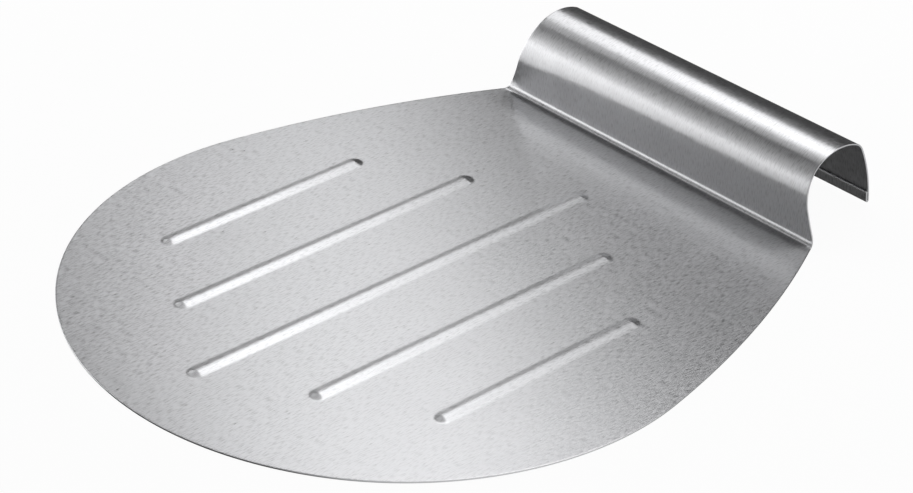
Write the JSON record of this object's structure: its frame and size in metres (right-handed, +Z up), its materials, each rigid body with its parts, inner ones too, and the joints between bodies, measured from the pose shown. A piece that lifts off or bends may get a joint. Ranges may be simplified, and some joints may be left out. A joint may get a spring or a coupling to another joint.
{
  "type": "pizza peel",
  "caption": "Flat tear-drop lifting blade with raised ribs and a rolled hollow grip, folded from one sheet of brushed stainless steel.",
  "frame": {"origin": "centre of the bounding box's bottom face, level with the blade's underside", "axes": "+X along the grip, +Y from the blade's tip to the grip, +Z up, square to the blade"},
  "size_m": [0.3, 0.3598, 0.0396],
  "materials": {
    "peel_sheet": "brushed, grain running from tip to grip"
  },
  "bodies": {
    "root": {"peel_sheet": "peel_sheet"}
  },
  "joints": []
}
